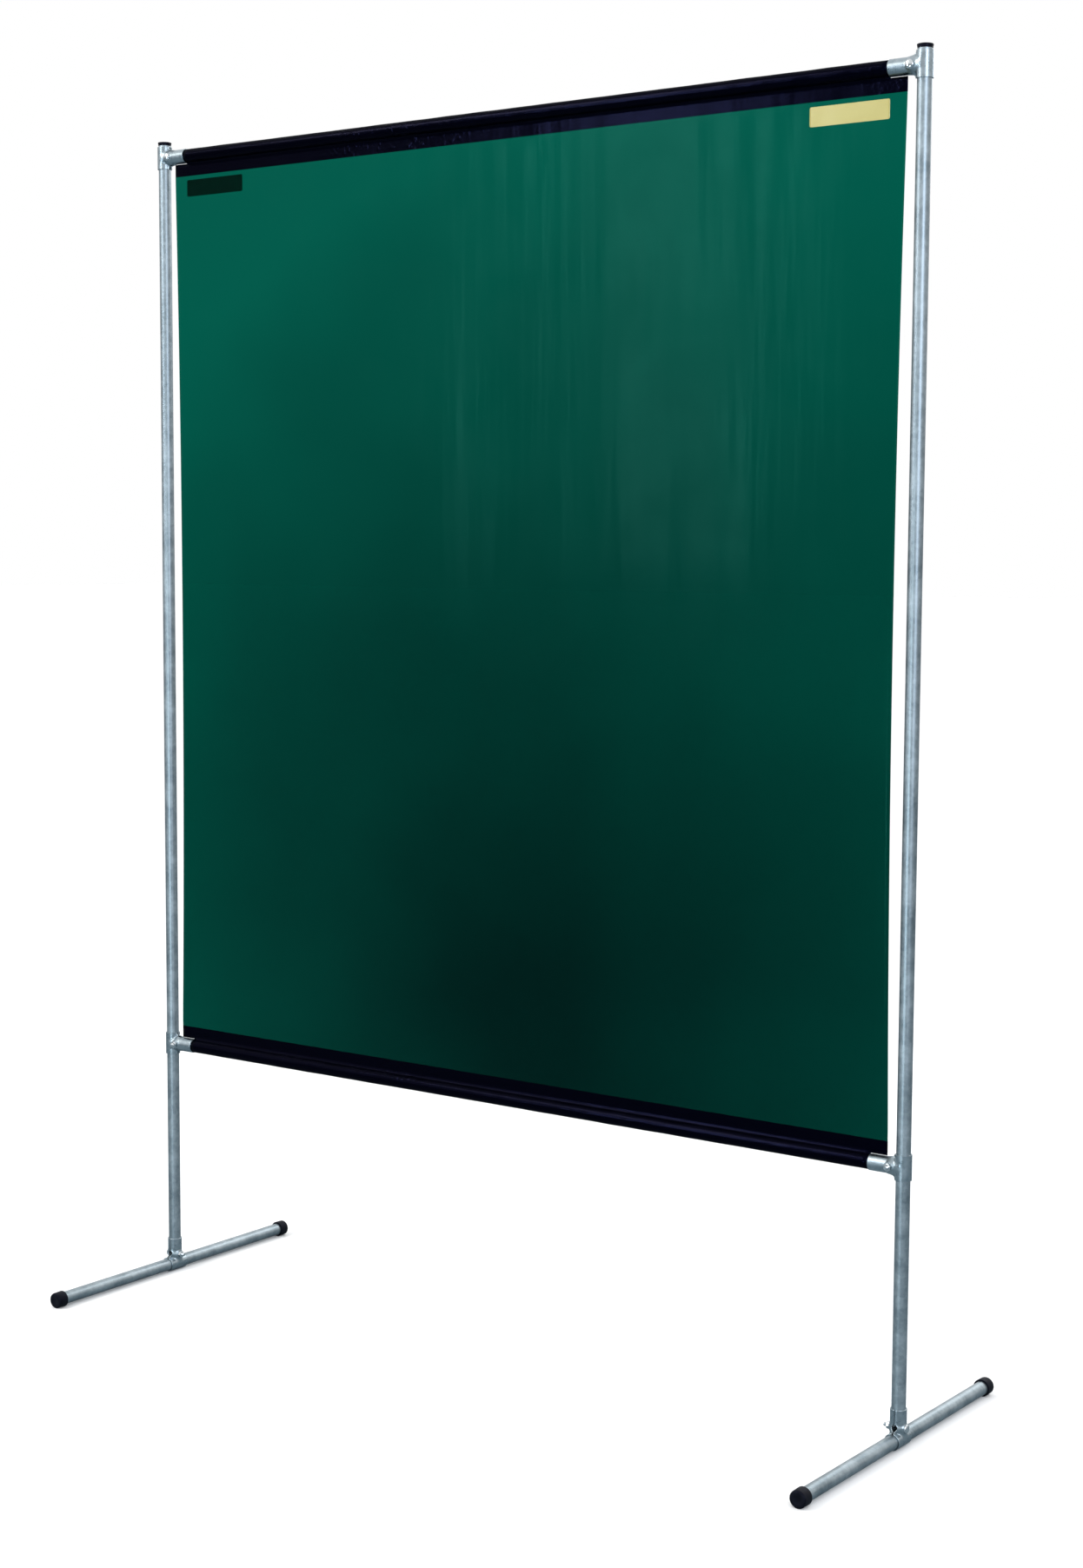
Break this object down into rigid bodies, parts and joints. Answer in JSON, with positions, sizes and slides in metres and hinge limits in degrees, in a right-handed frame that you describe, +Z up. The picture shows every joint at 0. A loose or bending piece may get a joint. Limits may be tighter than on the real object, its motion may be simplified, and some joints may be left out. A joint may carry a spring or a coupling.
{
  "type": "welding curtain screen",
  "caption": "Free-standing screen of tinted PVC film stretched between tube rails on T-clamped posts with cross feet.",
  "frame": {"origin": "on the floor, midway between the two posts, in the plane of the film", "axes": "+X along the screen towards the front label's end, +Y through the screen from its front to its back, +Z up"},
  "size_m": [1.501, 0.58, 2],
  "materials": {
    "galvanised_tube": "galvanised, satin",
    "pressed_steel": "zinc-plated pressing, satin",
    "zinc_fastener": "bright zinc plate",
    "black_plastic": "moulded",
    "black_rubber": "moulded",
    "tinted_film": "translucent glossy PVC film",
    "hem_film": "doubled and welded glossy PVC film",
    "label_paper": "printed self-adhesive label"
  },
  "bodies": {
    "posts": {"left_post": "galvanised_tube", "right_post": "galvanised_tube", "left_post_cap": "black_plastic", "right_post_cap": "black_plastic"},
    "panel": {"upper_rail": "galvanised_tube", "lower_rail": "galvanised_tube", "upper_left_clamp_front": "pressed_steel", "upper_left_clamp_back": "pressed_steel", "upper_right_clamp_front": "pressed_steel", "upper_right_clamp_back": "pressed_steel", "lower_left_clamp_front": "pressed_steel", "lower_left_clamp_back": "pressed_steel", "lower_right_clamp_front": "pressed_steel", "lower_right_clamp_back": "pressed_steel", "upper_left_clamp_bolt": "zinc_fastener", "upper_right_clamp_bolt": "zinc_fastener", "lower_left_clamp_bolt": "zinc_fastener", "lower_right_clamp_bolt": "zinc_fastener", "upper_left_clamp_nut": "zinc_fastener", "upper_right_clamp_nut": "zinc_fastener", "lower_left_clamp_nut": "zinc_fastener", "lower_right_clamp_nut": "zinc_fastener", "curtain": "tinted_film", "upper_hem": "hem_film", "lower_hem": "hem_film", "front_label": "label_paper", "back_label": "label_paper"},
    "left_foot_clamp": {"left_foot_clamp_outer": "pressed_steel", "left_foot_clamp_inner": "pressed_steel", "left_foot_clamp_bolt": "zinc_fastener", "left_foot_clamp_nut": "zinc_fastener"},
    "left_foot": {"left_foot_tube": "galvanised_tube", "left_front_ferrule": "black_rubber", "left_rear_ferrule": "black_rubber"},
    "right_foot_clamp": {"right_foot_clamp_outer": "pressed_steel", "right_foot_clamp_inner": "pressed_steel", "right_foot_clamp_bolt": "zinc_fastener", "right_foot_clamp_nut": "zinc_fastener"},
    "right_foot": {"right_foot_tube": "galvanised_tube", "right_front_ferrule": "black_rubber", "right_rear_ferrule": "black_rubber"}
  },
  "joints": [
    {"name": "panel_height", "type": "slide", "parent": "posts", "child": "panel", "axis": [0, 0, 1], "range_m": [-0.3, 0]},
    {"name": "left_foot_swivel", "type": "hinge", "parent": "posts", "child": "left_foot_clamp", "pos_m": [-0.734, 0, 0.046], "axis": [0, 0, 1], "range_deg": [-90, 90]},
    {"name": "left_foot_slide", "type": "slide", "parent": "left_foot_clamp", "child": "left_foot", "axis": [0, 1, 0], "range_m": [-0.2, 0.2]},
    {"name": "right_foot_swivel", "type": "hinge", "parent": "posts", "child": "right_foot_clamp", "pos_m": [0.734, 0, 0.046], "axis": [0, 0, 1], "range_deg": [-90, 90]},
    {"name": "right_foot_slide", "type": "slide", "parent": "right_foot_clamp", "child": "right_foot", "axis": [0, 1, 0], "range_m": [-0.2, 0.2]}
  ]
}
